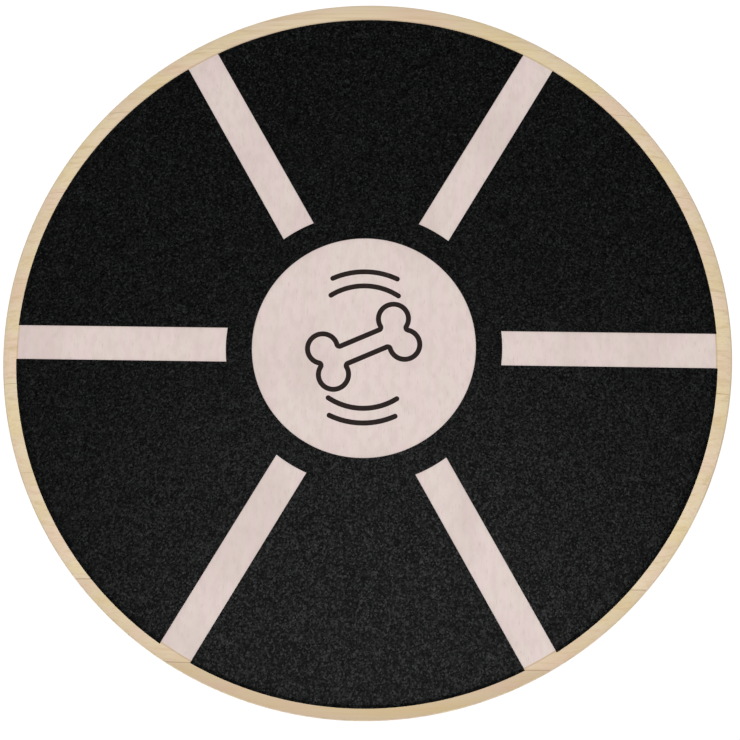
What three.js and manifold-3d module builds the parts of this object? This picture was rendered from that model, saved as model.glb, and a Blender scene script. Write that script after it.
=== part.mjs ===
// Round balance board for a dog: a plywood deck with a grip sheet, on a rocker dome with a rubber sole.
// Millimetres, +Z up. The origin is on the floor, below the middle of the deck's outline.
// One bare spoke of the deck's face lies along +X.
import * as THREE from 'three';
import { mergeVertices } from 'three/addons/utils/BufferGeometryUtils.js';
import Module from 'manifold-3d';

const wasm = await Module();
wasm.setup();

// Clearance between curved faces that face each other, and how far a cut runs past what it opens
const faceGap = 0.3;
const cutOverrun = 1;

// Deck: thin veneers outside, thicker plies between them, one rounded edge over them all
const deckRadius = 200;
const veneerThickness = 0.25;
const corePlyThickness = 3.5;
const corePlyCount = 5;
const topEdgeReach = 13.5;
const topEdgeDepth = 6;
const bottomEdgeReach = 8;
// The flat of the top face is centred this far to the -Y side of the outline
const faceOffset = 2.4;
const deckThickness = 2 * veneerThickness + corePlyCount * corePlyThickness;

// Grip sheet: a round hole over the bare disc, and a slot for each bare spoke
const gripThickness = 0.8;
// The sheet reaches this far past the flat, over the start of the rounding
const gripOverlap = 3.6;
const bareDiscRadius = 61;
const gripRingWidth = 14.2;
const spokeWidth = 19;
const spokeCount = 6;
const gripRadius = deckRadius - topEdgeReach + gripOverlap;
const spokeStart = bareDiscRadius + gripRingWidth;

// Rocker dome: part of a sphere, cut flat at the foot, with a flange under the deck
const domeRadius = 85;
const domeHeight = 52;
const domeWall = 4;
const footRadius = 20;
const flangeThickness = 5;
const flangeRounding = 1.5;
const flangeFillet = 3;
const hubBore = 24;
const hubWall = 3;
const ribThickness = 3;
const ribCount = 12;

// Sole: a rubber pad set flush into the dome, with grooves below and a barbed stud above
const soleRadius = 46;
const soleThickness = 5;
const grooveWidth = 1.6;
const grooveDepth = 1.2;
const groovePitch = 9;
const studRadius = 6;
const barbReach = 1.8;
const barbTaper = 1.5;
const barbHeight = 5;

// Fixings: pan-head screws with washers, up through the flange into the deck
const screwCount = 6;
const screwTurn = Math.PI / screwCount;
const screwRadius = 2.1;
const screwLength = 15;
const screwTipLength = 3.5;
const headRadius = 4.1;
const headHeight = 2.8;
const crownFlatShare = 0.55;
const crownRiseShare = 0.6;
const crossLength = 4.6;
const crossWidth = 1.1;
const crossDepth = 1.5;
const washerRadius = 6;
const washerThickness = 1;
// Flat of the flange left on each side of a washer
const washerMargin = 1.5;

// Facets of each kind of round
const deckFacets = 96;
const topEdgeSteps = 7;
const bottomEdgeSteps = 5;
const gripArcSteps = 14;
const spokeArcSteps = 4;
const domeFacets = 60;
const hubFacets = 30;
const sphereSteps = 4;
const smallArcSteps = 3;
const screwFacets = 12;

// Levels that more than one piece meets
const sphereHeight = Math.sqrt(domeRadius ** 2 - footRadius ** 2);
const flangeUnderside = domeHeight - flangeThickness;
const domeFloorTop = soleThickness + domeWall;
const bottomEdgeDepth = deckThickness - topEdgeDepth;
const screwHoleRadius = screwRadius + faceGap;
const screwSeat = flangeUnderside - washerThickness;

// The flange's flat starts at the fillet's end and is as wide as the washers need
const filletHeight = flangeUnderside - flangeFillet;
const filletStart = sphereReach(domeRadius, filletHeight);
const flangeFlatStart = filletStart + flangeFillet;
const flangeFlatWidth = 2 * (washerRadius + washerMargin);
const flangeRadius = flangeFlatStart + flangeFlatWidth + flangeRounding;
const screwCircleRadius = flangeFlatStart + flangeFlatWidth / 2;

const gripBlack = new THREE.MeshStandardMaterial({ color: 0x1c1e1d, roughness: 0.85, metalness: 0 });
const veneerPink = new THREE.MeshStandardMaterial({ color: 0xd6c3be, roughness: 0.6, metalness: 0 });
const plyTan = new THREE.MeshStandardMaterial({ color: 0xd8bf9f, roughness: 0.65, metalness: 0 });
const domeBlack = new THREE.MeshStandardMaterial({ color: 0x26282a, roughness: 0.5, metalness: 0 });
const soleGrey = new THREE.MeshStandardMaterial({ color: 0x3a3c3d, roughness: 0.9, metalness: 0 });
const zincSteel = new THREE.MeshStandardMaterial({ color: 0xb6b9bb, roughness: 0.35, metalness: 1 });

const board = new THREE.Group();

function addPiece(parent, name, geometry, material) {
  const piece = new THREE.Mesh(geometry, material);
  piece.name = name;
  parent.add(piece);
  return piece;
}

// A turned solid: the profile of [radius, height] runs from the axis out, up and back to the axis
function turned(profile, facets) {
  const points = profile.map(([radius, height]) => new THREE.Vector2(radius, height));
  return new THREE.LatheGeometry(points, facets).rotateX(Math.PI / 2);
}

function toSolid(geometry) {
  const bare = geometry.clone();
  bare.deleteAttribute('normal');
  bare.deleteAttribute('uv');
  const merged = mergeVertices(bare);
  const corners = merged.index.array;
  const triVerts = [];
  for (let i = 0; i < corners.length; i += 3) {
    const [a, b, c] = corners.slice(i, i + 3);
    if (a !== b && b !== c && c !== a) {
      triVerts.push(a, b, c);
    }
  }
  return new wasm.Manifold(new wasm.Mesh({
    numProp: 3,
    vertProperties: new Float32Array(merged.getAttribute('position').array),
    triVerts: new Uint32Array(triVerts),
  }));
}

function toGeometry(solid) {
  const mesh = solid.getMesh();
  const geometry = new THREE.BufferGeometry();
  geometry.setAttribute('position', new THREE.BufferAttribute(mesh.vertProperties, mesh.numProp));
  geometry.setIndex(new THREE.BufferAttribute(mesh.triVerts, 1));
  return geometry;
}

// Points of a sphere about the rocker's centre, by radius from the axis, ends included
function spherePoints(radius, from, to, steps) {
  const points = [];
  for (let i = 0; i <= steps; i += 1) {
    const out = from + (to - from) * i / steps;
    points.push([out, sphereHeight - Math.sqrt(radius ** 2 - out ** 2)]);
  }
  return points;
}

// How far from the axis a sphere about the rocker's centre passes a height
function sphereReach(radius, height) {
  return Math.sqrt(radius ** 2 - (sphereHeight - height) ** 2);
}

// Points of a quarter turn about [radius, height], between two angles, ends included
function arcPoints([radius, height], rounding, from, to) {
  const points = [];
  for (let i = 0; i <= smallArcSteps; i += 1) {
    const angle = from + (to - from) * i / smallArcSteps;
    points.push([radius + rounding * Math.cos(angle), height + rounding * Math.sin(angle)]);
  }
  return points;
}

const screwPlaces = Array.from({ length: screwCount }, (_, i) => {
  const angle = screwTurn + i * 2 * Math.PI / screwCount;
  return [screwCircleRadius * Math.cos(angle), screwCircleRadius * Math.sin(angle)];
});

// Upright round cutters on the screw circle
function screwHoles(bottom, top) {
  const holes = screwPlaces.map(([x, y]) => {
    const hole = new THREE.CylinderGeometry(screwHoleRadius, screwHoleRadius, top - bottom, screwFacets);
    hole.rotateX(Math.PI / 2).translate(x, y, (bottom + top) / 2);
    return toSolid(hole);
  });
  return holes.reduce((all, hole) => all.add(hole));
}

// The deck's edge at a depth below the top face: a rounding above, a fuller one below.
// The upper rounding starts about the middle of the flat and ends about the middle of the outline.
function deckEdge(depth) {
  if (depth <= topEdgeDepth) {
    const left = 1 - Math.sqrt(1 - (1 - depth / topEdgeDepth) ** 2);
    return { radius: deckRadius - topEdgeReach * left, offset: -faceOffset * left };
  }
  const left = 1 - Math.sqrt(1 - ((depth - topEdgeDepth) / bottomEdgeDepth) ** 2);
  return { radius: deckRadius - bottomEdgeReach * left, offset: 0 };
}

// Depths at which the edge turns, even in angle over each rounding
function edgeDepths() {
  const depths = [];
  for (let i = 1; i <= topEdgeSteps; i += 1) {
    depths.push(topEdgeDepth * (1 - Math.cos(i * Math.PI / 2 / topEdgeSteps)));
  }
  for (let i = 1; i < bottomEdgeSteps; i += 1) {
    depths.push(topEdgeDepth + bottomEdgeDepth * Math.sin(i * Math.PI / 2 / bottomEdgeSteps));
  }
  return depths;
}

// One ply between two depths: circles stacked from its underside up, closed by its two faces
function plyGeometry(topDepth, bottomDepth) {
  const leastStep = veneerThickness / 2;
  const between = edgeDepths().filter((d) => d > topDepth + leastStep && d < bottomDepth - leastStep);
  const depths = [topDepth, ...between, bottomDepth].reverse();
  const positions = [];
  const index = [];
  const heightOf = (depth) => deckThickness - depth;
  positions.push(0, deckEdge(bottomDepth).offset, heightOf(bottomDepth));
  depths.forEach((depth) => {
    const { radius, offset } = deckEdge(depth);
    for (let i = 0; i < deckFacets; i += 1) {
      const angle = i * 2 * Math.PI / deckFacets;
      positions.push(radius * Math.cos(angle), offset + radius * Math.sin(angle), heightOf(depth));
    }
  });
  positions.push(0, deckEdge(topDepth).offset, heightOf(topDepth));
  const topCentre = depths.length * deckFacets + 1;
  const lastRing = topCentre - deckFacets;
  for (let i = 0; i < deckFacets; i += 1) {
    const next = (i + 1) % deckFacets;
    index.push(0, 1 + next, 1 + i);
    index.push(topCentre, lastRing + i, lastRing + next);
    for (let ring = 1; ring < lastRing; ring += deckFacets) {
      index.push(ring + i, ring + next, ring + deckFacets + next);
      index.push(ring + i, ring + deckFacets + next, ring + deckFacets + i);
    }
  }
  const geometry = new THREE.BufferGeometry();
  geometry.setAttribute('position', new THREE.Float32BufferAttribute(positions, 3));
  geometry.setIndex(index);
  return geometry;
}

// The deck stands on the dome's flange; its pieces are placed from its underside
const deck = new THREE.Group();
deck.position.z = domeHeight;
board.add(deck);

// The screws end inside the deck, so their holes go that far into the plies they reach
const screwTipInDeck = screwSeat + screwLength - domeHeight;
const pilotTop = screwTipInDeck + faceGap;

function addPly(name, topDepth, thickness, material) {
  const bottomDepth = topDepth + thickness;
  let geometry = plyGeometry(topDepth, bottomDepth);
  if (deckThickness - bottomDepth < pilotTop) {
    geometry = toGeometry(toSolid(geometry).subtract(screwHoles(-cutOverrun, pilotTop)));
  }
  addPiece(deck, name, geometry, material);
}

addPly('face_veneer', 0, veneerThickness, veneerPink);
for (let i = 0; i < corePlyCount; i += 1) {
  addPly(`core_ply_${i + 1}`, veneerThickness + i * corePlyThickness, corePlyThickness, plyTan);
}
addPly('back_veneer', deckThickness - veneerThickness, veneerThickness, veneerPink);

// Points of an arc about the middle of the face, ends included
function faceArc(radius, from, to, steps) {
  const points = [];
  for (let i = 0; i <= steps; i += 1) {
    const angle = from + (to - from) * i / steps;
    points.push(new THREE.Vector2(radius * Math.cos(angle), radius * Math.sin(angle)));
  }
  return points;
}

// The grip sheet's outline runs round the rim, in along each spoke's side and across its inner end
function gripOutline() {
  const pitch = 2 * Math.PI / spokeCount;
  const rimHalf = Math.asin(spokeWidth / 2 / gripRadius);
  const endHalf = Math.asin(spokeWidth / 2 / spokeStart);
  const points = [];
  for (let i = 0; i < spokeCount; i += 1) {
    const spoke = i * pitch;
    const nextSpoke = spoke + pitch;
    points.push(...faceArc(gripRadius, spoke + rimHalf, nextSpoke - rimHalf, gripArcSteps));
    points.push(...faceArc(spokeStart, nextSpoke - endHalf, nextSpoke + endHalf, spokeArcSteps));
  }
  const outline = new THREE.Shape(points);
  outline.holes.push(new THREE.Path(faceArc(bareDiscRadius, 0, 2 * Math.PI, domeFacets).slice(0, -1)));
  return outline;
}

const gripGeometry = new THREE.ExtrudeGeometry(gripOutline(), { depth: gripThickness, bevelEnabled: false });
const grip = addPiece(deck, 'grip_sheet', gripGeometry, gripBlack);
grip.position.set(0, -faceOffset, deckThickness);

// The dome's outside: recess for the sole, sphere, fillet, flange, and a flat top under the deck
function domeOutside() {
  const recess = domeRadius - soleThickness - faceGap;
  const recessRadius = soleRadius + faceGap;
  const roundingRadius = flangeRadius - flangeRounding;
  return [
    [0, soleThickness],
    ...spherePoints(recess, sphereReach(recess, soleThickness), recessRadius, sphereSteps),
    ...spherePoints(domeRadius, recessRadius, filletStart, sphereSteps),
    ...arcPoints([flangeFlatStart, filletHeight], flangeFillet, Math.PI, Math.PI / 2).slice(1),
    ...arcPoints([roundingRadius, flangeUnderside + flangeRounding], flangeRounding, -Math.PI / 2, 0),
    [flangeRadius, domeHeight],
    [0, domeHeight],
  ];
}

// The dome's inside follows its outside one wall away, also over the recess for the sole
function domeInside() {
  const overRecess = domeRadius - soleThickness - faceGap - domeWall;
  const recessWallRadius = soleRadius + faceGap + domeWall;
  const inner = domeRadius - domeWall;
  const mouthRadius = sphereReach(inner, domeHeight);
  return [
    [0, domeFloorTop],
    ...spherePoints(overRecess, sphereReach(overRecess, domeFloorTop), recessWallRadius, sphereSteps),
    ...spherePoints(inner, recessWallRadius, mouthRadius, sphereSteps),
    [mouthRadius, domeHeight + cutOverrun],
    [0, domeHeight + cutOverrun],
  ];
}

// Upright ribs from the hub to the wall, cut to length by the hollow that they stand in
function domeRibs() {
  const start = hubBore / 2 + hubWall / 2;
  const height = domeHeight + 2 * cutOverrun;
  const ribs = Array.from({ length: ribCount }, (_, i) => {
    const rib = new THREE.BoxGeometry(domeRadius - start, ribThickness, height);
    rib.translate((start + domeRadius) / 2, 0, height / 2).rotateZ(i * 2 * Math.PI / ribCount);
    return toSolid(rib);
  });
  return ribs.reduce((all, rib) => all.add(rib));
}

function domeHub() {
  const height = domeHeight + 2 * cutOverrun;
  const outerRadius = hubBore / 2 + hubWall;
  const outer = new THREE.CylinderGeometry(outerRadius, outerRadius, height, hubFacets);
  const bore = new THREE.CylinderGeometry(hubBore / 2, hubBore / 2, height + 2 * cutOverrun, hubFacets);
  outer.rotateX(Math.PI / 2).translate(0, 0, height / 2);
  bore.rotateX(Math.PI / 2).translate(0, 0, height / 2);
  return toSolid(outer).subtract(toSolid(bore));
}

function domeGeometry() {
  const holeRadius = studRadius + faceGap;
  const studHole = new THREE.CylinderGeometry(holeRadius, holeRadius, domeHeight, hubFacets);
  studHole.rotateX(Math.PI / 2).translate(0, 0, domeHeight / 2);
  const hollow = toSolid(turned(domeInside(), domeFacets)).subtract(domeRibs()).subtract(domeHub());
  return toGeometry(toSolid(turned(domeOutside(), domeFacets))
    .subtract(hollow)
    .subtract(toSolid(studHole))
    .subtract(screwHoles(flangeUnderside - cutOverrun, domeHeight + cutOverrun)));
}

addPiece(board, 'rocker_dome', domeGeometry(), domeBlack);

// Height of the sole's underside: flat at the foot, then the dome's sphere
function soleUnderside(radius) {
  return radius <= footRadius ? 0 : sphereHeight - Math.sqrt(domeRadius ** 2 - radius ** 2);
}

// The grooved underside, from the axis out to the sole's edge
function soleTread() {
  const points = [[0, 0]];
  let footDone = false;
  for (let middle = groovePitch; middle < soleRadius - grooveWidth; middle += groovePitch) {
    const near = middle - grooveWidth / 2;
    const far = middle + grooveWidth / 2;
    if (!footDone && near > footRadius) {
      points.push([footRadius, 0]);
      footDone = true;
    }
    points.push([near, soleUnderside(near)]);
    points.push([near, soleUnderside(near) + grooveDepth]);
    points.push([far, soleUnderside(far) + grooveDepth]);
    points.push([far, soleUnderside(far)]);
  }
  points.push([soleRadius, soleUnderside(soleRadius)]);
  return points;
}

// The sole's top follows the recess, and its stud goes through the dome's floor to a barb
function soleTop() {
  const top = domeRadius - soleThickness;
  const barbSeat = domeFloorTop + faceGap;
  return [
    ...spherePoints(top, soleRadius, sphereReach(top, soleThickness), sphereSteps),
    [studRadius, soleThickness],
    [studRadius, barbSeat],
    [studRadius + barbReach, barbSeat],
    [studRadius - barbTaper, barbSeat + barbHeight],
    [0, barbSeat + barbHeight],
  ];
}

addPiece(board, 'rocker_sole', turned([...soleTread(), ...soleTop()], domeFacets), soleGrey);

// A screw with its seat at height 0, its head below and its point above, and a cross in the head
function screwGeometry() {
  const body = turned([
    [0, -headHeight],
    [headRadius * crownFlatShare, -headHeight],
    [headRadius, -headHeight * (1 - crownRiseShare)],
    [headRadius, 0],
    [screwRadius, 0],
    [screwRadius, screwLength - screwTipLength],
    [0, screwLength],
  ], screwFacets);
  const depth = crossDepth + cutOverrun;
  const arm = new THREE.BoxGeometry(crossLength, crossWidth, depth);
  arm.translate(0, 0, -headHeight + crossDepth - depth / 2);
  const otherArm = arm.clone().rotateZ(Math.PI / 2);
  return toGeometry(toSolid(body).subtract(toSolid(arm).add(toSolid(otherArm))));
}

function washerGeometry() {
  return turned([
    [screwHoleRadius, 0],
    [washerRadius, 0],
    [washerRadius, washerThickness],
    [screwHoleRadius, washerThickness],
    [screwHoleRadius, 0],
  ], screwFacets);
}

screwPlaces.forEach(([x, y], i) => {
  const screw = addPiece(board, `dome_screw_${i + 1}`, screwGeometry(), zincSteel);
  const washer = addPiece(board, `dome_washer_${i + 1}`, washerGeometry(), zincSteel);
  screw.position.set(x, y, screwSeat);
  washer.position.set(x, y, screwSeat);
});

export default board;
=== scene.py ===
import math

import bpy
from mathutils import Matrix, Vector


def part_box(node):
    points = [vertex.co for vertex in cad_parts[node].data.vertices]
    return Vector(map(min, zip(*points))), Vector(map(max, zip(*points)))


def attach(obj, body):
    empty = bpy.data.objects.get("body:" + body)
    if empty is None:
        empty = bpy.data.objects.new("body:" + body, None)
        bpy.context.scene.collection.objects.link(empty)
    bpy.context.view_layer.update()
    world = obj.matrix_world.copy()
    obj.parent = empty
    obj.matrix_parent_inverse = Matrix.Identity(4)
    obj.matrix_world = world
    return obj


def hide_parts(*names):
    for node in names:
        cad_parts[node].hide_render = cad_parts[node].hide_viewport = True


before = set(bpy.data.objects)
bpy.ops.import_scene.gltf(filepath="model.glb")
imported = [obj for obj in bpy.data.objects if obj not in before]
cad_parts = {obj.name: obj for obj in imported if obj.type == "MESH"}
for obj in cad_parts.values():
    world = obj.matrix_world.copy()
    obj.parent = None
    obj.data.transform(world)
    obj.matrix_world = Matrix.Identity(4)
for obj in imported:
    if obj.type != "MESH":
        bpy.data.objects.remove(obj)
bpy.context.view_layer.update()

MM = 0.001
QUARTER_TURN = math.pi / 2
FULL_TURN = 2 * math.pi

# How far a cutter runs past what it opens, how close points are merged, and how near counts as the same
OVERRUN = 1 * MM
MERGE_REACH = 0.002 * MM
TOLERANCE = 0.03 * MM

# Edges are rounded where they turn by more than the first angle, and shaded smooth up to the second
BEND_ANGLE = math.radians(40)
SMOOTH_ANGLE = math.radians(35)
GRIP_BEND_ANGLE = math.radians(60)

# Deck: heights and radii from the CAD solids, and the reach of its two roundings
deck_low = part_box("back_veneer")[0].z
deck_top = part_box("face_veneer")[1].z
deck_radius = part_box("core_ply_2")[1].x
TOP_EDGE_REACH = 13.5 * MM
TOP_EDGE_DEPTH = 6 * MM
BOTTOM_EDGE_REACH = 8 * MM
EDGE_STEPS = 18
DECK_SEGMENTS = 240
CORE_PLIES = 5
widest_height = deck_top - TOP_EDGE_DEPTH

# Strips of each core ply, from one side of the deck to the other: where they meet in the first ply, how wide
# each joint line is, how much darkness each strip has, and how far the joints move from ply to ply. The
# first two strips, on the -Y side, are darker partly for their own tone and partly as painted shade
STRIP_JOINTS = (-172 * MM, -130 * MM, -74 * MM, -25.5 * MM, 31 * MM, 84 * MM, 132 * MM, 171 * MM)
STRIP_JOINT_WIDTHS = (0.9 * MM, 0.9 * MM, 0.2 * MM, 0.5 * MM, 0.2 * MM, 0.3 * MM, 0.5 * MM, 0.2 * MM)
STRIP_DARK_AND_SHADE_SHARES = (0.32, 0.14, 0.02, 0.01, 0.03, 0.06, 0.01, 0.05, 0.07)
STRIP_SHIFT = 9 * MM
STRIP_BLEND = 1 * MM

# Grip sheet: its outline is round about the middle of the deck's flat, a little to the -Y side
grip_low, grip_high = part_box("grip_sheet")
grip_radius = (grip_high.y - grip_low.y) / 2
face_shift = (grip_high.y + grip_low.y) / 2
grip_thickness = grip_high.z - grip_low.z
BARE_DISC_RADIUS = 61 * MM
SPOKES = 6
SPOKE_START = 75.2 * MM
SPOKE_WIDTH = 19 * MM
SPOKE_OVERRUN = 5 * MM
GRIP_EDGE_ROUNDING = 0.12 * MM
GRIP_EDGE_RINGS = 8

# Print on the bare disc
INK_THICKNESS = 0.05 * MM
STROKE = 2.8 * MM
BONE_KNOB = 9.6 * MM
BONE_KNOB_ALONG = 21 * MM
BONE_KNOB_APART = 7.8 * MM
BONE_SHAFT = 6.6 * MM
BONE_TILT = math.radians(24)
ARC_RADII = (34 * MM, 42 * MM)
ARC_SPANS = (math.radians(66), math.radians(50))
PRINT_SEGMENTS = 48

# Rocker dome: a sphere's cap that stands on a small flat foot, with a flange under the deck
dome_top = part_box("rocker_dome")[1].z
flange_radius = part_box("rocker_dome")[1].x
DOME_SPHERE = 85 * MM
DOME_WALL = 4 * MM
FOOT_RADIUS = 20 * MM
FLANGE_THICKNESS = 5 * MM
FLANGE_ROUNDING = 1.5 * MM
FLANGE_FILLET = 3 * MM
HUB_BORE = 12 * MM
HUB_WALL = 3 * MM
RIB_THICKNESS = 3 * MM
RIBS = 12
DOME_SEGMENTS = 180
HUB_SEGMENTS = 90
STUD_HOLE_SEGMENTS = 60
DOME_STEPS = 16
RECESS_STEPS = 10
CORNER_STEPS = 5
sphere_middle = math.sqrt(DOME_SPHERE ** 2 - FOOT_RADIUS ** 2)
flange_underside = dome_top - FLANGE_THICKNESS

# Sole: a grooved rubber pad in the dome's recess, with a barbed stud through the dome's floor
sole_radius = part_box("rocker_sole")[1].x
SOLE_THICKNESS = 5 * MM
FIT_GAP = 0.3 * MM
GROOVE_WIDTH = 1.6 * MM
GROOVE_DEPTH = 1.2 * MM
GROOVE_PITCH = 9 * MM
LAND_STEPS = 4
STUD_RADIUS = 6 * MM
BARB_REACH = 1.8 * MM
BARB_TAPER = 1.5 * MM
BARB_HEIGHT = 5 * MM
SOLE_EDGE_ROUNDING = 0.25 * MM

# Fixings: pan-head screws that point up, each with a washer below the flange
SCREWS = 6
SCREW_SEGMENTS = 36
HEAD_RADIUS = 4.1 * MM
HEAD_HEIGHT = 2.8 * MM
CROWN_FLAT = 2 * MM
CROWN_RISE = 1.7 * MM
CROWN_STEPS = 6
SHANK_RADIUS = 2.1 * MM
THREAD_DEPTH = 0.35 * MM
THREAD_PITCH = 1.5 * MM
TIP_LENGTH = 3.5 * MM
TIP_RADIUS = 0.0875 * MM
CROSS_LENGTH = 4.6 * MM
CROSS_WIDTH = 1.1 * MM
CROSS_DEPTH = 1.5 * MM
CROSS_END_SHARE = 0.55
WASHER_ROUNDING = 0.15 * MM

# Camera: it looks down on the board from a little to its near side
CAMERA_PLACE = (28.9 * MM, -137.7 * MM, 729.7 * MM)
CAMERA_TURN = (math.radians(10.543), math.radians(1.964), math.radians(1.170))
CAMERA_LENS = 60.23

# Light, and a floor that grows white away from the board
WHITE = (1, 1, 1, 1)
WORLD_LIGHT = 0.24
LAMP_PLACE = Vector((0.0, -0.4, 3.0))
LAMP_SIZE = 1.9
LAMP_POWER = 71.0
FLOOR_SIZE = 12.0
FLOOR_GREY = (0.9, 0.9, 0.9, 1)
FLOOR_ROUGHNESS = 0.9
FLOOR_GLOW = 0.4
FLOOR_WHITE_SHARE = 0.85
FLOOR_FADE_START = 0.4
FLOOR_FADE_END = 1.2


# Modelling by hand

def select_only(*pieces):
    bpy.ops.object.select_all(action="DESELECT")
    for piece in pieces:
        piece.select_set(True)
    bpy.context.view_layer.objects.active = pieces[0]


def edit(piece, select="SELECT"):
    """Opens a piece in edit mode with all or none of it selected."""
    select_only(piece)
    bpy.ops.object.mode_set(mode="EDIT")
    bpy.ops.mesh.select_all(action=select)


def close_edit(piece):
    """Makes faces point outwards and leaves edit mode."""
    bpy.ops.mesh.select_all(action="SELECT")
    bpy.ops.mesh.normals_make_consistent(inside=False)
    bpy.ops.object.mode_set(mode="OBJECT")
    return piece


def merge_doubles():
    """Merges the points that lie on one another in the open piece."""
    bpy.ops.mesh.select_all(action="SELECT")
    bpy.ops.mesh.remove_doubles(threshold=MERGE_REACH)


def add(primitive, scale=(1, 1, 1), **settings):
    """Adds a primitive with nothing else selected and puts its place and scale into its mesh."""
    bpy.ops.object.select_all(action="DESELECT")
    primitive(**settings)
    piece = bpy.context.object
    piece.scale = scale
    bpy.ops.object.transform_apply(location=True, rotation=True, scale=True)
    return piece


def circle(radius, middle, segments, fill_type="NOTHING"):
    return add(bpy.ops.mesh.primitive_circle_add, vertices=segments, radius=radius, location=middle,
               fill_type=fill_type)


def turned(rings, segments, closed=False):
    """A turned solid: a circle at the first ring, extruded and resized from ring to ring.

    A ring is (radius, height) or (radius, height, shift along Y). A closed profile ends on its first ring.
    """
    rings = [(*ring, 0)[:3] for ring in rings]
    radius, height, shift = rings[0]
    piece = circle(radius, (0, shift, height), segments, "NOTHING" if closed else "NGON")
    edit(piece)
    for (radius, height, shift), (next_radius, next_height, next_shift) in zip(rings, rings[1:]):
        move = (0, next_shift - shift, next_height - height)
        bpy.ops.mesh.extrude_region_move(TRANSFORM_OT_translate={"value": move})
        share = next_radius / radius
        bpy.ops.transform.resize(value=(share, share, 1), center_override=(0, next_shift, next_height))
    merge_doubles()
    return close_edit(piece)


def block(middle, size, turn=0.0):
    """A box about a point, turned about the origin's upright axis."""
    place = Matrix.Rotation(turn, 4, "Z") @ Vector(middle)
    return add(bpy.ops.mesh.primitive_cube_add, scale=size, size=1, location=place, rotation=(0, 0, turn))


def moved(piece, x, y):
    """Moves the mesh of a piece along X and Y."""
    piece.data.transform(Matrix.Translation((x, y, 0)))
    return piece


def joined(pieces):
    select_only(*pieces)
    bpy.ops.object.join()
    return bpy.context.object


def copy_of(piece):
    """A copy of a piece with a mesh of its own."""
    select_only(piece)
    bpy.ops.object.duplicate(linked=False)
    return bpy.context.object


def modify(piece, kind, **settings):
    """Adds a modifier, sets it and applies it."""
    select_only(piece)
    bpy.ops.object.modifier_add(type=kind)
    change = piece.modifiers[-1]
    for name, value in settings.items():
        setattr(change, name, value)
    bpy.ops.object.modifier_apply(modifier=change.name)
    return piece


def combine(piece, other, operation="DIFFERENCE"):
    """Cuts another piece from this one, joins it or keeps what both share, and removes the other."""
    modify(piece, "BOOLEAN", operation=operation, object=other, solver="EXACT")
    bpy.data.objects.remove(other)
    return piece


def soften(piece, width, angle=BEND_ANGLE, segments=2):
    """Rounds the edges that turn by more than an angle."""
    return modify(piece, "BEVEL", width=width, segments=segments, limit_method="ANGLE", angle_limit=angle)


def smooth(piece):
    """Shades a piece smooth but for its sharper edges."""
    select_only(piece)
    bpy.ops.object.shade_smooth_by_angle(angle=SMOOTH_ANGLE)
    return piece


def settle(piece, name, finish, nodes=()):
    """Names a finished piece, gives it its finish and ties it to the frame."""
    piece.name = name
    piece.data.name = name
    piece.data.materials.clear()
    piece.data.materials.append(finish)
    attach(piece, "root")
    if nodes:
        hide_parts(*nodes)


# Node trees

def seen(red, green, blue):
    """A colour as it is seen, 0 to 255, as the shader's own numbers."""
    parts = [value / 255 for value in (red, green, blue)]
    return tuple(p / 12.92 if p <= 0.04045 else ((p + 0.055) / 1.055) ** 2.4 for p in parts) + (1.0,)


class Value:
    """A socket in a node tree. Arithmetic on it adds the Math nodes that it needs."""

    def __init__(self, nodes, socket):
        self.nodes = nodes
        self.socket = socket

    def maths(self, operation, first, second=0.0):
        return self.nodes.node("ShaderNodeMath", {"operation": operation}, {0: first, 1: second})

    def __add__(self, other):
        return self.maths("ADD", self, other)

    def __radd__(self, other):
        return self.maths("ADD", other, self)

    def __sub__(self, other):
        return self.maths("SUBTRACT", self, other)

    def __rsub__(self, other):
        return self.maths("SUBTRACT", other, self)

    def __mul__(self, other):
        return self.maths("MULTIPLY", self, other)

    def __rmul__(self, other):
        return self.maths("MULTIPLY", other, self)

    def __truediv__(self, other):
        return self.maths("DIVIDE", self, other)

    def __rtruediv__(self, other):
        return self.maths("DIVIDE", other, self)

    def __pow__(self, other):
        return self.maths("POWER", self, other)

    def __rpow__(self, other):
        return self.maths("POWER", other, self)

    def __abs__(self):
        return self.maths("ABSOLUTE", self)

    def least(self, other):
        return self.maths("MINIMUM", self, other)

    def most(self, other):
        return self.maths("MAXIMUM", self, other)


class Nodes:
    """The node tree of a finish or of the world."""

    def __init__(self, tree):
        self.tree = tree

    def node(self, kind, settings=(), sockets=(), output=0):
        """Any node: its settings come first, then the values or links of its sockets."""
        made = self.tree.nodes.new(kind)
        for name, value in dict(settings).items():
            if name == "stops":
                self.set_stops(made.color_ramp.elements, value)
            else:
                setattr(made, name, value)
        for name, value in dict(sockets).items():
            if isinstance(value, Value):
                self.tree.links.new(value.socket, made.inputs[name])
            else:
                made.inputs[name].default_value = value
        return Value(self, made.outputs[output])

    @staticmethod
    def set_stops(elements, stops):
        while len(elements) < len(stops):
            elements.new(0.5)
        for element, (position, colour) in zip(elements, stops):
            element.position = position
            element.color = colour

    def given_node(self, name, **constants):
        """A node that the tree began with, its own sockets set to constants."""
        node = self.tree.nodes[name]
        for socket, value in constants.items():
            node.inputs[socket.replace("_", " ")].default_value = value
        return node

    def show(self, surface, output):
        """Makes a shader the surface of the named output node."""
        self.tree.links.new(surface.socket, self.tree.nodes[output].inputs["Surface"])


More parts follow.
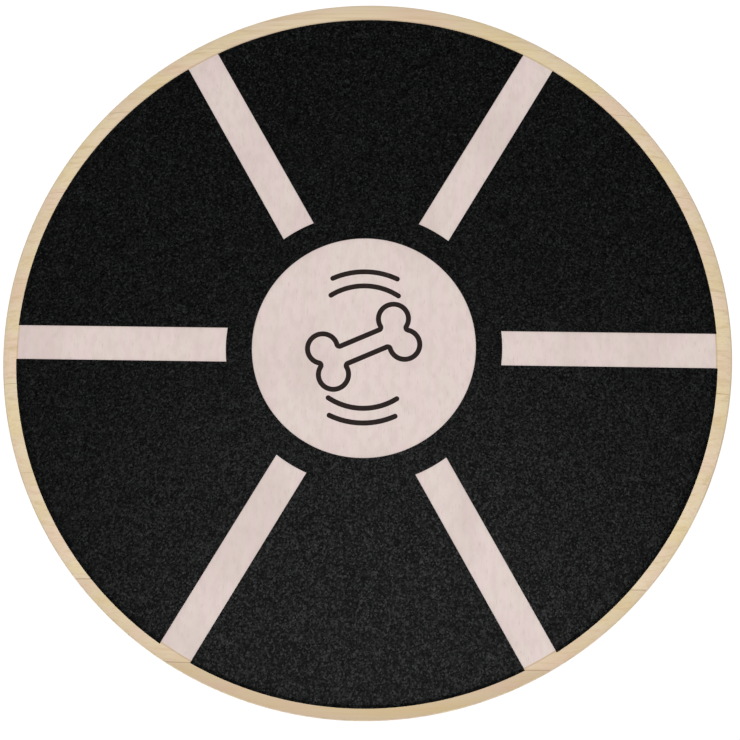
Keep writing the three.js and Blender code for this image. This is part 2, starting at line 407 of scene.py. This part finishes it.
class Finish(Nodes):
    """A material in the making, on one principled shader."""

    def __init__(self, name, **constants):
        self.material = bpy.data.materials.new(name)
        self.material.use_nodes = True
        super().__init__(self.material.node_tree)
        self.shader = self.given_node("Principled BSDF", **constants)
        self.place = self.node("ShaderNodeTexCoord", output="Object")
        self.x, self.y, self.z = (self.node("ShaderNodeSeparateXYZ", {}, {0: self.place}, axis)
                                  for axis in ("X", "Y", "Z"))

    def stretched(self, x, y, z):
        """Object coordinates times a factor each way."""
        return self.node("ShaderNodeVectorMath", {"operation": "MULTIPLY"}, {0: self.place, 1: (x, y, z)})

    def noise(self, place, detail, scale=1.0, roughness=0.5, distortion=0.0):
        sockets = {"Vector": place, "Scale": scale, "Detail": detail, "Roughness": roughness,
                   "Distortion": distortion}
        return self.node("ShaderNodeTexNoise", {}, sockets)

    def ramp(self, value, low, high):
        """0 up to low, 1 from high on, smooth between."""
        settings = {"interpolation_type": "SMOOTHSTEP", "clamp": True}
        return self.node("ShaderNodeMapRange", settings, {"Value": value, "From Min": low, "From Max": high})

    def mix(self, share, first, second):
        """Two colours mixed by a share. The node's colours are its sockets 6 and 7 and its output 2."""
        return self.node("ShaderNodeMix", {"data_type": "RGBA"}, {0: share, 6: first, 7: second}, 2)

    def feed(self, **links):
        """Links values to the shader's sockets, named with _ for each space."""
        for socket, value in links.items():
            self.tree.links.new(value.socket, self.shader.inputs[socket.replace("_", " ")])
        return self

    def bump(self, height, distance, strength):
        """Raises the surface by height times a distance in metres."""
        sockets = {"Height": height, "Distance": distance, "Strength": strength}
        return self.feed(Normal=self.node("ShaderNodeBump", {}, sockets))


# Finishes: the factors of a noise's place are waves per metre

def veneer_finish(name, pink, beige, shade):
    """Thin limed veneer, grain along Y: soft pink and beige patches, faint lines and short dark pores."""
    finish = Finish(name, Specular_IOR_Level=0.35)
    patches = finish.noise(finish.stretched(130, 34, 60), detail=3.0, roughness=0.55, distortion=0.3)
    lines = finish.noise(finish.stretched(1100, 16, 200), detail=3.0, roughness=0.6)
    pores = finish.ramp(finish.noise(finish.stretched(1300, 200, 400), detail=1.0), 0.64, 0.74)
    cloud = finish.noise(finish.stretched(30, 18, 20), detail=3.0)
    mottle = finish.noise(finish.stretched(260, 130, 200), detail=3.0)
    colour = finish.mix(finish.ramp(patches, 0.40, 0.60), pink, beige)
    colour = finish.mix(finish.ramp(lines, 0.48, 0.80) * 0.15, colour, shade)
    colour = finish.mix(pores * 0.55, colour, shade)
    colour = finish.mix(finish.ramp(cloud, 0.42, 0.66) * 0.32, colour, shade)
    colour = finish.mix(finish.ramp(mottle, 0.40, 0.66) * 0.24, colour, shade)
    finish.feed(Base_Color=colour, Roughness=0.50 + lines * 0.16)
    return finish.bump(lines * 0.6 - pores * 0.4, 0.06 * MM, 0.4).material


def strip_stops(shift, dark_and_shade_shares):
    """Ramp stops across the deck that step from share to share where the strips meet."""
    stops = [(0.0, dark_and_shade_shares[0])]
    for joint, before, after in zip(STRIP_JOINTS, dark_and_shade_shares, dark_and_shade_shares[1:]):
        stops += [(0.5 + (joint + shift - STRIP_BLEND) / (2 * deck_radius), before),
                  (0.5 + (joint + shift + STRIP_BLEND) / (2 * deck_radius), after)]
    return [(place, (share, share, share, 1.0)) for place, share in stops]


def ply_finish(number, low, high):
    """One core ply: strips edge to edge, with the grain along X or Y, and a glue line above and below."""
    finish = Finish(f"core_ply_{number}_wood", Specular_IOR_Level=0.35)
    runs_along_x = number % 2 == 1
    across = finish.y if runs_along_x else finish.x
    tone, dark = (seen(229, 211, 180), seen(204, 175, 132)) if runs_along_x else (
        seen(226, 206, 174), seen(186, 156, 114))
    strip_and_shade_brown = seen(140, 100, 58)
    joint_brown = seen(120, 86, 52)
    glue_brown = seen(140, 108, 74)

    def grain(fine, run, deep, **settings):
        """Noise that is fine across the grain and long along it."""
        place = finish.stretched(run, fine, deep) if runs_along_x else finish.stretched(fine, run, deep)
        return finish.noise(place, **settings)

    shift = (number - 1) * STRIP_SHIFT
    dark_and_shade_shares = STRIP_DARK_AND_SHADE_SHARES[number - 1:] + STRIP_DARK_AND_SHADE_SHARES[:number - 1]
    share_across = finish.node("ShaderNodeMapRange", {}, {
        "Value": across, "From Min": -deck_radius, "From Max": deck_radius})
    strips = finish.node("ShaderNodeValToRGB", {"stops": strip_stops(shift, dark_and_shade_shares)}, {0: share_across})
    joint = 1.0
    for meeting, width in zip(STRIP_JOINTS, STRIP_JOINT_WIDTHS):
        joint = (abs(across - (meeting + shift)) / width).least(joint)
    rings = grain(420, 7, 300, detail=3.0, roughness=0.6, distortion=0.4)
    streaks = grain(1500, 30, 1500, detail=2.0)
    clouds = grain(60, 12, 60, detail=2.0)
    blush = grain(55, 22, 60, detail=3.0)
    colour = finish.mix(finish.ramp(blush, 0.46, 0.66) * 0.65, tone, seen(231, 202, 180))
    colour = finish.mix(finish.ramp(blush, 0.54, 0.34) * 0.65, colour, seen(228, 209, 161))
    # Darkens each strip by its share: the strip's own tone, and in the first two shares also painted shade
    colour = finish.mix(strips, colour, strip_and_shade_brown)
    colour = finish.mix(finish.ramp(rings, 0.46, 0.72) * 0.54, colour, dark)
    colour = finish.mix(finish.ramp(streaks, 0.48, 0.76) * 0.34, colour, dark)
    colour = finish.mix(finish.ramp(clouds, 0.40, 0.75) * 0.25, colour, dark)
    colour = finish.mix(finish.ramp(joint, 0.50, 0.15) * 0.42, colour, joint_brown)
    edge = abs(finish.z - (low + high) / 2) / ((high - low) / 2)
    glue = finish.ramp(edge, 0.93, 0.985)
    colour = finish.mix(glue * 0.32, colour, glue_brown)
    finish.feed(Base_Color=colour, Roughness=0.52 + streaks * 0.18)
    return finish.bump(rings * 0.5 + streaks * 0.5, 0.06 * MM, 0.5).material


def grit_finish():
    """Black grit on a sheet: grains under a millimetre across, each with its own tone and gloss."""
    finish = Finish("black_grit", Specular_IOR_Level=0.014, Coat_Roughness=0.3)
    cells = {"Vector": finish.place, "Scale": 1200.0}
    depth = finish.node("ShaderNodeTexVoronoi", {}, cells, "Distance")
    chances = finish.node("ShaderNodeTexVoronoi", {}, cells, "Color")
    tone_chance = finish.node("ShaderNodeSeparateColor", {}, {0: chances}, "Red")
    gloss_chance = finish.node("ShaderNodeSeparateColor", {}, {0: chances}, "Green")
    clumps = finish.noise(finish.place, scale=560.0, detail=3.0, roughness=0.7)
    drift = finish.noise(finish.place, scale=60.0, detail=2.0)
    light = tone_chance ** 7 * 0.90 + finish.ramp(clumps, 0.36, 0.68) * 0.12
    colour = finish.mix(light, seen(0, 0, 0), seen(37, 40, 39))
    colour = finish.mix(finish.ramp(drift, 0.40, 0.80) * 0.25, colour, seen(11, 9, 11))
    gloss = gloss_chance ** 3 * 0.135
    finish.feed(Base_Color=colour, Roughness=0.24 + gloss_chance * 0.26, Coat_Weight=gloss)
    return finish.bump(clumps * 0.8 - depth, 0.30 * MM, 0.3).material


def ink_finish():
    """Dark brown ink, a little thin where the grain below it takes less."""
    finish = Finish("print_ink", Specular_IOR_Level=0.08)
    lines = finish.noise(finish.stretched(1100, 40, 200), detail=2.0)
    colour = finish.mix(finish.ramp(lines, 0.45, 0.85), seen(28, 20, 18), seen(46, 36, 32))
    return finish.feed(Base_Color=colour, Roughness=0.5 + lines * 0.2).material


def dome_finish():
    """Black moulded plastic with a fine leathery grain and faint flow marks."""
    finish = Finish("moulded_black_plastic", Specular_IOR_Level=0.4)
    cells = {"Vector": finish.place, "Scale": 1300.0}
    grain = finish.node("ShaderNodeTexVoronoi", {"feature": "SMOOTH_F1"}, cells)
    flow = finish.noise(finish.place, scale=45.0, detail=3.0)
    scuffs = finish.ramp(finish.noise(finish.stretched(900, 900, 90), detail=2.0), 0.62, 0.78)
    colour = finish.mix(flow, seen(31, 32, 33), seen(42, 43, 44))
    colour = finish.mix(scuffs * 0.25, colour, seen(70, 71, 72))
    finish.feed(Base_Color=colour, Roughness=0.42 + flow * 0.2 + scuffs * 0.1)
    return finish.bump(grain, 0.12 * MM, 0.5).material


def sole_finish():
    """Dark grey rubber, duller and dustier on the lands that touch the floor."""
    finish = Finish("tread_rubber", Specular_IOR_Level=0.3)
    mottle = finish.noise(finish.place, scale=260.0, detail=3.0)
    dust = finish.noise(finish.place, scale=70.0, detail=3.0)
    worn = finish.ramp(dust, 0.40, 0.75) * (1 - finish.ramp(finish.z, 0.4 * MM, 6 * MM))
    colour = finish.mix(mottle, seen(50, 51, 52), seen(66, 67, 67))
    colour = finish.mix(worn * 0.5, colour, seen(104, 102, 97))
    finish.feed(Base_Color=colour, Roughness=0.78 + dust * 0.15)
    return finish.bump(mottle, 0.10 * MM, 0.4).material


def zinc_finish():
    """Zinc plate on steel, a little blue and uneven."""
    finish = Finish("zinc_plate", Metallic=1.0)
    bloom = finish.noise(finish.place, scale=500.0, detail=3.0)
    fine = finish.noise(finish.place, scale=2600.0, detail=2.0)
    colour = finish.mix(bloom, seen(172, 177, 182), seen(198, 199, 198))
    finish.feed(Base_Color=colour, Roughness=0.26 + bloom * 0.16)
    return finish.bump(fine, 0.02 * MM, 0.4).material


# Deck

def deck_rings():
    """The deck's circles from its underside up: a full rounding below the widest place and one above it."""
    rings = []
    for step in range(EDGE_STEPS, 0, -1):
        angle = QUARTER_TURN * step / EDGE_STEPS
        inward = 1 - math.cos(angle)
        rings.append((deck_radius - BOTTOM_EDGE_REACH * inward,
                      widest_height - (widest_height - deck_low) * math.sin(angle), 0))
    for step in range(EDGE_STEPS + 1):
        angle = QUARTER_TURN * step / EDGE_STEPS
        inward = 1 - math.cos(angle)
        rings.append((deck_radius - TOP_EDGE_REACH * inward,
                      widest_height + TOP_EDGE_DEPTH * math.sin(angle), face_shift * inward))
    return rings


def keep_between(piece, low, high):
    """Cuts a piece down to what lies between two heights and closes it."""
    for height, side in ((low, "clear_inner"), (high, "clear_outer")):
        if deck_low + TOLERANCE < height < deck_top - TOLERANCE:
            edit(piece)
            bpy.ops.mesh.bisect(plane_co=(0, 0, height), plane_no=(0, 0, 1), use_fill=True, **{side: True})
            close_edit(piece)
    return piece


def screw_places():
    boxes = [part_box(f"dome_screw_{number}") for number in range(1, SCREWS + 1)]
    return [(low + high) / 2 for low, high in boxes]


def pilot_holes(low, high):
    """Round cutters for the screws between two heights."""
    radius = SHANK_RADIUS + FIT_GAP
    return joined([moved(turned([(radius, low), (radius, high)], SCREW_SEGMENTS), place.x, place.y)
                   for place in screw_places()])


def heights(node):
    """The lowest and the highest height of a CAD node."""
    low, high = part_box(node)
    return low.z, high.z


def make_ply(body, node, name, finish):
    """What the body holds between the node's heights, with pilot holes where the screws reach it."""
    low, high = heights(node)
    ply = keep_between(copy_of(body), low, high)
    pilot_top = heights("dome_screw_1")[1] + FIT_GAP
    if low < pilot_top:
        combine(ply, pilot_holes(deck_low - OVERRUN, pilot_top))
    settle(smooth(ply), name, finish, [node])


def make_deck():
    """The seven plies, cut from one turned and rounded body. Returns that body."""
    body = turned(deck_rings(), DECK_SEGMENTS)
    limed = veneer_finish("limed_veneer", seen(223, 204, 201), seen(221, 207, 199), seen(196, 176, 170))
    make_ply(body, "face_veneer", "top_veneer", limed)
    for number in range(1, CORE_PLIES + 1):
        node = f"core_ply_{number}"
        make_ply(body, node, f"cross_ply_{number}", ply_finish(number, *heights(node)))
    plain = veneer_finish("plain_veneer", seen(221, 200, 172), seen(214, 190, 158), seen(180, 150, 118))
    make_ply(body, "back_veneer", "bottom_veneer", plain)
    return body


# Grip sheet

def spoke_cutter(low, high):
    """Six bars that start on an arc round the disc and run out past the rim."""
    reach = grip_radius + SPOKE_OVERRUN
    start = SPOKE_START - SPOKE_WIDTH / 2
    size = (reach - start, SPOKE_WIDTH, high - low)
    middle = ((reach + start) / 2, 0, (low + high) / 2)
    cutter = joined([block(middle, size, FULL_TURN * spoke / SPOKES) for spoke in range(SPOKES)])
    outside = reach + OVERRUN
    ring = turned([(SPOKE_START, low - OVERRUN), (outside, low - OVERRUN), (outside, high + OVERRUN),
                   (SPOKE_START, high + OVERRUN), (SPOKE_START, low - OVERRUN)], DECK_SEGMENTS, closed=True)
    combine(cutter, ring, "INTERSECT")
    return moved(cutter, 0, face_shift)


def flat_disc(radius, bend_start, middle):
    """A flat round sheet that faces up: one face out to where the bend starts, then rings of faces."""
    sheet = circle(bend_start, middle, DECK_SEGMENTS)
    edit(sheet)
    reach = bend_start
    for step in range(1, GRIP_EDGE_RINGS + 1):
        wider = bend_start + (radius - bend_start) * step / GRIP_EDGE_RINGS
        bpy.ops.mesh.extrude_region_move()
        bpy.ops.transform.resize(value=(wider / reach, wider / reach, 1), center_override=middle)
        reach = wider
    bpy.ops.object.mode_set(mode="OBJECT")
    for vertex in sheet.data.vertices:
        vertex.select = (vertex.co - middle).length < bend_start + TOLERANCE
    bpy.ops.object.mode_set(mode="EDIT")
    bpy.ops.mesh.edge_face_add()
    close_edit(sheet)
    if sheet.data.polygons[0].normal.z < 0:
        edit(sheet)
        bpy.ops.mesh.flip_normals()
        bpy.ops.object.mode_set(mode="OBJECT")
    return sheet


def make_grip(body):
    """The sheet lies on the deck's flat and bends down over the start of its rounding."""
    bend_start = deck_radius - TOP_EDGE_REACH - OVERRUN
    sheet = flat_disc(grip_radius, bend_start, Vector((0, face_shift, deck_top + OVERRUN)))
    modify(sheet, "SHRINKWRAP", target=body, wrap_method="PROJECT", use_project_x=False, use_project_y=False,
           use_project_z=True, use_positive_direction=False, use_negative_direction=True)
    modify(sheet, "SOLIDIFY", thickness=grip_thickness, offset=1)
    low = deck_top - 2 * OVERRUN
    high = deck_top + 2 * OVERRUN
    combine(sheet, spoke_cutter(low, high))
    bare_disc = [(BARE_DISC_RADIUS, low, face_shift), (BARE_DISC_RADIUS, high, face_shift)]
    combine(sheet, turned(bare_disc, DECK_SEGMENTS))
    soften(sheet, GRIP_EDGE_ROUNDING, GRIP_BEND_ANGLE, segments=1)
    settle(smooth(sheet), "grit_sheet", grit_finish(), ["grip_sheet"])


# Print on the disc

def upright_disc(radius, x, y, low, high):
    return moved(turned([(radius, low), (radius, high)], PRINT_SEGMENTS), x, y)


def bone(low, high, inset):
    """A bone's silhouette as a solid: a shaft with two knobs at each end, drawn in by an inset."""
    shape = block((0, 0, (low + high) / 2), (2 * BONE_KNOB_ALONG, 2 * (BONE_SHAFT - inset), high - low))
    for end in (-1, 1):
        for side in (-1, 1):
            knob = upright_disc(BONE_KNOB - inset, end * BONE_KNOB_ALONG, side * BONE_KNOB_APART, low, high)
            combine(shape, knob, "UNION")
    return shape


def open_corners(inside, low, high):
    """Fills the bone's inside up to a round corner wherever its outline turns inwards."""
    middle = (low + high) / 2
    waist = BONE_KNOB_ALONG - math.sqrt(BONE_KNOB ** 2 - (BONE_KNOB_APART - BONE_SHAFT) ** 2)
    tip = BONE_KNOB_ALONG + math.sqrt(BONE_KNOB ** 2 - BONE_KNOB_APART ** 2)
    tip_width = 2 * BONE_KNOB_APART * STROKE / BONE_KNOB
    combine(inside, block((0, 0, middle), (2 * tip, tip_width, high - low)), "UNION")
    for end in (-1, 1):
        size = (BONE_KNOB_ALONG - waist, 2 * BONE_SHAFT, high - low)
        combine(inside, block((end * (BONE_KNOB_ALONG + waist) / 2, 0, middle), size), "UNION")
    for end in (-1, 1):
        for x, y in ((tip, 0), (waist, BONE_SHAFT), (waist, -BONE_SHAFT)):
            combine(inside, upright_disc(STROKE, end * x, y, low - OVERRUN, high + OVERRUN))
    return inside


def arc_stroke(radius, middle_angle, span, low, high):
    """A stroke along part of a circle: an upright strip swept round by spin, and a disc at each end."""
    start = middle_angle - span / 2
    ends = [upright_disc(STROKE / 2, radius * math.cos(angle), radius * math.sin(angle), low, high)
            for angle in (start, start + span)]
    band = add(bpy.ops.mesh.primitive_plane_add, scale=(STROKE, high - low, 1), size=1,
               location=(radius, 0, (low + high) / 2), rotation=(QUARTER_TURN, 0, 0))
    band.data.transform(Matrix.Rotation(start, 4, "Z"))
    edit(band)
    bpy.ops.mesh.spin(steps=PRINT_SEGMENTS, angle=-span, center=(0, 0, 0), axis=(0, 0, 1))
    merge_doubles()
    close_edit(band)
    for end in ends:
        combine(band, end, "UNION")
    return band


def make_print():
    """A plain bone with rocking arcs above and below it, in thin ink on the bare disc."""
    low = deck_top
    high = deck_top + INK_THICKNESS
    bottom = low - OVERRUN
    top = high + OVERRUN
    outline = combine(bone(low, high, 0), open_corners(bone(bottom, top, STROKE), bottom, top))
    outline.data.transform(Matrix.Rotation(BONE_TILT, 4, "Z"))
    strokes = [outline]
    for radius, span in zip(ARC_RADII, ARC_SPANS):
        for middle_angle in (QUARTER_TURN, -QUARTER_TURN):
            strokes.append(arc_stroke(radius, middle_angle, span, low, high))
    design = moved(joined(strokes), 0, face_shift)
    settle(smooth(design), "centre_print", ink_finish())


# Rocker dome

def on_sphere(radius, reach):
    """Height of a sphere about the rocker's centre at a reach from the axis."""
    return sphere_middle - math.sqrt(radius ** 2 - reach ** 2)


def sphere_reach(radius, height):
    """Reach of that sphere from the axis at a height."""
    return math.sqrt(radius ** 2 - (sphere_middle - height) ** 2)


def sphere_rings(radius, start, end, steps=RECESS_STEPS):
    reaches = [start + (end - start) * step / steps for step in range(steps + 1)]
    return [(reach, on_sphere(radius, reach)) for reach in reaches]


def corner_rings(middle, rounding, start, end):
    """Rings round a quarter turn about a point of the profile."""
    angles = [start + (end - start) * step / CORNER_STEPS for step in range(CORNER_STEPS + 1)]
    return [(middle[0] + rounding * math.cos(a), middle[1] + rounding * math.sin(a)) for a in angles]


def dome_outside(recess, recess_reach, floor_low):
    """The dome's outside: the recess for the sole, the sphere, a fillet and the flange's rounded edge."""
    fillet_low = flange_underside - FLANGE_FILLET
    fillet_start = sphere_reach(DOME_SPHERE, fillet_low)
    rounding_middle = (flange_radius - FLANGE_ROUNDING, flange_underside + FLANGE_ROUNDING)
    fillet = corner_rings((fillet_start + FLANGE_FILLET, fillet_low), FLANGE_FILLET, math.pi, QUARTER_TURN)
    return [
        *sphere_rings(recess, sphere_reach(recess, floor_low), recess_reach),
        *sphere_rings(DOME_SPHERE, recess_reach, fillet_start, DOME_STEPS),
        *fillet[1:],
        *corner_rings(rounding_middle, FLANGE_ROUNDING, -QUARTER_TURN, 0),
        (flange_radius, dome_top),
    ]


def dome_cavity(over_recess, step_reach, floor_top):
    """What is hollow in the dome: all inside its wall but the hub and the ribs."""
    inner = DOME_SPHERE - DOME_WALL
    mouth = sphere_reach(inner, dome_top)
    cavity = turned([
        *sphere_rings(over_recess, sphere_reach(over_recess, floor_top), step_reach),
        *sphere_rings(inner, step_reach, mouth),
        (mouth, dome_top + OVERRUN),
    ], DOME_SEGMENTS)
    hub_outside = HUB_BORE + HUB_WALL
    tall = dome_top + 2 * OVERRUN
    hub = turned([(HUB_BORE, 0), (hub_outside, 0), (hub_outside, tall), (HUB_BORE, tall), (HUB_BORE, 0)],
                 HUB_SEGMENTS, closed=True)
    rib_start = HUB_BORE + HUB_WALL / 2
    size = (DOME_SPHERE - rib_start, RIB_THICKNESS, tall)
    middle = ((DOME_SPHERE + rib_start) / 2, 0, tall / 2)
    ribs = joined([block(middle, size, FULL_TURN * rib / RIBS) for rib in range(RIBS)])
    combine(cavity, ribs)
    return combine(cavity, hub)


def make_dome():
    """The moulded rocker: an even wall with a hub and ribs inside, and holes for the stud and the screws."""
    floor_top = SOLE_THICKNESS + DOME_WALL
    recess = DOME_SPHERE - SOLE_THICKNESS - FIT_GAP
    recess_reach = sole_radius + FIT_GAP
    dome = turned(dome_outside(recess, recess_reach, SOLE_THICKNESS), DOME_SEGMENTS)
    combine(dome, dome_cavity(recess - DOME_WALL, recess_reach + DOME_WALL, floor_top))
    stud_hole = STUD_RADIUS + FIT_GAP
    combine(dome, turned([(stud_hole, 0), (stud_hole, floor_top + OVERRUN)], STUD_HOLE_SEGMENTS))
    combine(dome, pilot_holes(flange_underside - OVERRUN, dome_top + OVERRUN))
    settle(smooth(dome), "dome_shell", dome_finish(), ["rocker_dome"])


# Sole

def underside(reach):
    """Height of the sole's underside: flat at the foot, then the dome's sphere."""
    return 0 if reach <= FOOT_RADIUS else on_sphere(DOME_SPHERE, reach)


def grooved_rings():
    """The sole's underside from the middle out: square grooves with lands between them."""
    rings = []
    edge = 0.0
    middle = GROOVE_PITCH
    while middle < sole_radius - GROOVE_WIDTH:
        near = middle - GROOVE_WIDTH / 2
        far = middle + GROOVE_WIDTH / 2
        if edge < FOOT_RADIUS < near:
            rings.append((FOOT_RADIUS, 0))
        rings += [(near, underside(near)), (near, underside(near) + GROOVE_DEPTH),
                  (far, underside(far) + GROOVE_DEPTH), (far, underside(far))]
        for step in range(1, LAND_STEPS):
            between = far + (GROOVE_PITCH - GROOVE_WIDTH) * step / LAND_STEPS
            if FOOT_RADIUS < between < sole_radius - GROOVE_WIDTH:
                rings.append((between, underside(between)))
        edge = far
        middle += GROOVE_PITCH
    return rings


def make_sole():
    """The rubber pad with its stud, whose barb sits on the dome's floor."""
    top = DOME_SPHERE - SOLE_THICKNESS
    barb_seat = SOLE_THICKNESS + DOME_WALL + FIT_GAP
    rings = [
        *grooved_rings(),
        (sole_radius, underside(sole_radius)),
        *sphere_rings(top, sole_radius, sphere_reach(top, SOLE_THICKNESS)),
        (STUD_RADIUS, SOLE_THICKNESS),
        (STUD_RADIUS, barb_seat),
        (STUD_RADIUS + BARB_REACH, barb_seat),
        (STUD_RADIUS - BARB_TAPER, barb_seat + BARB_HEIGHT),
    ]
    sole = soften(turned(rings, DOME_SEGMENTS), SOLE_EDGE_ROUNDING)
    settle(smooth(sole), "tread_sole", sole_finish(), ["rocker_sole"])


# Fixings

def cross_cutter(face):
    """Two crossed wedges that narrow as they go into the head."""
    arms = []
    for turn in (0, QUARTER_TURN):
        arm = block((0, 0, face + (CROSS_DEPTH - OVERRUN) / 2),
                    (CROSS_LENGTH, CROSS_WIDTH, CROSS_DEPTH + OVERRUN), turn)
        edit(arm, "DESELECT")
        bpy.ops.object.mode_set(mode="OBJECT")
        top = max(arm.data.polygons, key=lambda polygon: polygon.normal.z)
        top.select = True
        bpy.ops.object.mode_set(mode="EDIT")
        bpy.ops.transform.resize(value=(CROSS_END_SHARE, CROSS_END_SHARE, 1),
                                 center_override=(0, 0, face + CROSS_DEPTH))
        bpy.ops.object.mode_set(mode="OBJECT")
        arms.append(arm)
    return combine(arms[0], arms[1], "UNION")


def make_screw(low, high):
    """A screw on the origin's axis, head down: a round crown with a cross, a shank, threads and a tip."""
    crown = []
    for step in range(CROWN_STEPS + 1):
        angle = QUARTER_TURN * step / CROWN_STEPS
        crown.append((CROWN_FLAT + (HEAD_RADIUS - CROWN_FLAT) * math.sin(angle),
                      low + CROWN_RISE * (1 - math.cos(angle))))
    seat = low + HEAD_HEIGHT
    shank_end = high - TIP_LENGTH
    core = SHANK_RADIUS - THREAD_DEPTH
    threads = []
    height = seat + 2 * THREAD_PITCH
    while height < shank_end:
        threads += [(core, height - THREAD_PITCH / 2), (SHANK_RADIUS, height),
                    (core, height + THREAD_PITCH / 4)]
        height += THREAD_PITCH
    screw = turned([*crown, (HEAD_RADIUS, seat), (SHANK_RADIUS, seat), (SHANK_RADIUS, seat + THREAD_PITCH),
                    *threads, (core, shank_end), (TIP_RADIUS, high)], SCREW_SEGMENTS)
    return smooth(combine(screw, cross_cutter(low)))


def make_washer():
    """A washer on the origin's axis with soft edges."""
    low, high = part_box("dome_washer_1")
    radius = (high.y - low.y) / 2
    bore = SHANK_RADIUS + FIT_GAP
    washer = turned([(bore, low.z), (radius, low.z), (radius, high.z), (bore, high.z), (bore, low.z)],
                    SCREW_SEGMENTS, closed=True)
    return smooth(soften(washer, WASHER_ROUNDING))


def make_fixings():
    """Six screws and six washers, copied from one of each."""
    finish = zinc_finish()
    screw = make_screw(*heights("dome_screw_1"))
    washer = make_washer()
    patterns = ((screw, "pan_screw", "dome_screw"), (washer, "flat_washer", "dome_washer"))
    for number, place in enumerate(screw_places(), 1):
        for pattern, name, node in patterns:
            piece = moved(copy_of(pattern), place.x, place.y)
            settle(piece, f"{name}_{number}", finish, [f"{node}_{number}"])
    for pattern, name, node in patterns:
        bpy.data.objects.remove(pattern)


# Camera, world, floor and lamp

def add_camera():
    bpy.ops.object.camera_add(location=CAMERA_PLACE, rotation=CAMERA_TURN)
    camera = bpy.context.object
    camera.name = "camera"
    camera.data.lens = CAMERA_LENS
    bpy.context.scene.camera = camera


def white_to(nodes, plain, rays, share):
    """A shader that some rays see as white, by a share, and that acts as plain for all others."""
    seen_by = nodes.node("ShaderNodeLightPath", output=rays[0])
    for other in rays[1:]:
        seen_by = seen_by.most(nodes.node("ShaderNodeLightPath", output=other))
    white = nodes.node("ShaderNodeEmission", {}, {"Color": WHITE})
    return nodes.node("ShaderNodeMixShader", {}, {0: seen_by * share, 1: plain, 2: white})


def add_world():
    """Plain white light, and a white surround where it is looked at, mirrored or seen through glass."""
    world = bpy.data.worlds.new("studio")
    bpy.context.scene.world = world
    world.use_nodes = True
    nodes = Nodes(world.node_tree)
    background = nodes.given_node("Background", Color=WHITE, Strength=WORLD_LIGHT)
    rays = ("Is Camera Ray", "Is Glossy Ray", "Is Transmission Ray")
    nodes.show(white_to(nodes, Value(nodes, background.outputs[0]), rays, 1.0), "World Output")


def add_floor():
    """A white floor that keeps a faint shadow of the board and, seen from below, lets the view through."""
    floor = add(bpy.ops.mesh.primitive_plane_add, size=FLOOR_SIZE, location=(0, 0, 0))
    floor.name = "floor"
    finish = Finish("floor_white", Base_Color=FLOOR_GREY, Roughness=FLOOR_ROUGHNESS, Specular_IOR_Level=0.0,
                    Emission_Color=WHITE, Emission_Strength=FLOOR_GLOW)
    reach = finish.node("ShaderNodeVectorMath", {"operation": "LENGTH"}, {0: finish.place}, "Value")
    share = finish.node("ShaderNodeMapRange", {}, {
        "Value": reach, "From Min": FLOOR_FADE_START, "From Max": FLOOR_FADE_END,
        "To Min": FLOOR_WHITE_SHARE, "To Max": 1.0})
    top = white_to(finish, Value(finish, finish.shader.outputs[0]), ("Is Camera Ray",), share)
    clear = finish.node("ShaderNodeBsdfTransparent")
    below = finish.node("ShaderNodeNewGeometry", output="Backfacing")
    finish.show(finish.node("ShaderNodeMixShader", {}, {0: below, 1: top, 2: clear}), "Material Output")
    floor.data.materials.append(finish.material)


def add_lamp():
    bpy.ops.object.light_add(type="AREA", location=LAMP_PLACE)
    lamp = bpy.context.object
    lamp.name = "soft_lamp"
    lamp.data.shape = "DISK"
    lamp.data.size = LAMP_SIZE
    lamp.data.energy = LAMP_POWER
    lamp.rotation_mode = "QUATERNION"
    lamp.rotation_quaternion = LAMP_PLACE.to_track_quat("Z", "Y")


bpy.context.scene.view_settings.view_transform = "Standard"
add_camera()
add_world()
add_floor()
add_lamp()
deck_body = make_deck()
make_grip(deck_body)
bpy.data.objects.remove(deck_body)
make_print()
make_dome()
make_sole()
make_fixings()
